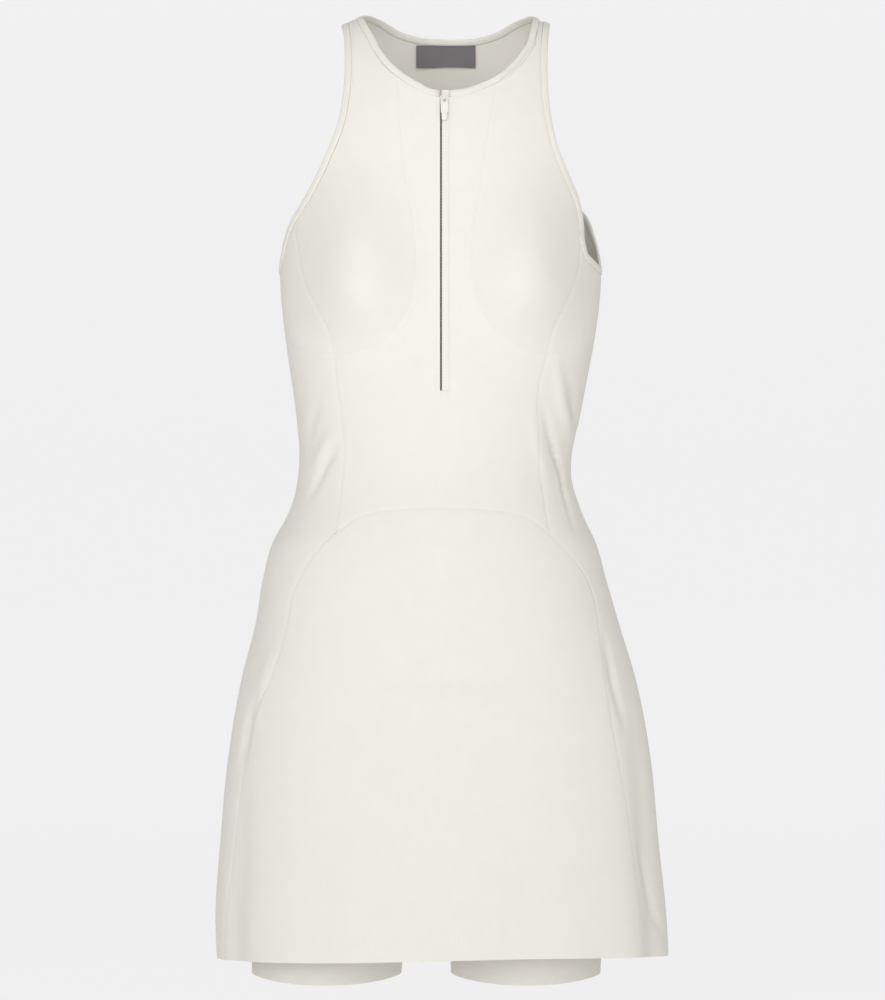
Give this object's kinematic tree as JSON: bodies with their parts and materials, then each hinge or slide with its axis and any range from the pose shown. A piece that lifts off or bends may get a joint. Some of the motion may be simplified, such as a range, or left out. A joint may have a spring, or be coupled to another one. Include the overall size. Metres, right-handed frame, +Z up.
{
  "type": "minidress",
  "caption": "Sleeveless sports minidress with a high round neck, half zip, shaped cups, fitted waist, flared skirt and attached inner shorts, in its hollow worn shape.",
  "frame": {"origin": "midway between the two high shoulder points, where the wearer's shoulders carry the dress", "axes": "+Z up, -Y out of the front, +X to the right of the front view"},
  "size_m": [0.4018, 0.2555, 0.8578],
  "materials": {
    "cloth": "matt fine double knit",
    "shorts": "matt fine knit, a little thinner",
    "binding": "folded knit binding with a stitched edge",
    "zip_tape": "woven tape",
    "zip_metal": "satin moulded zip parts in the cloth's colour",
    "label": "matt woven ribbon"
  },
  "bodies": {
    "dress": {"armhole_binding_left": "binding", "armhole_binding_right": "binding", "back": "cloth", "back_label": "label", "cup_left": "cloth", "cup_right": "cloth", "front_bodice": "cloth", "neck_binding": "binding", "shorts_leg_left": "shorts", "shorts_leg_right": "shorts", "side_bust_left": "cloth", "side_bust_right": "cloth", "side_panel_left": "cloth", "side_panel_right": "cloth", "skirt_front": "cloth", "zip_coil": "zip_metal", "zip_slider": "zip_metal", "zip_tape": "zip_tape", "zip_welt": "cloth"},
    "pull_tab": {"zip_pull": "zip_metal"}
  },
  "joints": [
    {"name": "pull_tab_hinge", "type": "hinge", "parent": "dress", "child": "pull_tab", "pos_m": [0.00158, -0.07173, -0.07752], "axis": [-1, 0, 0], "range_deg": [0, 150]}
  ]
}
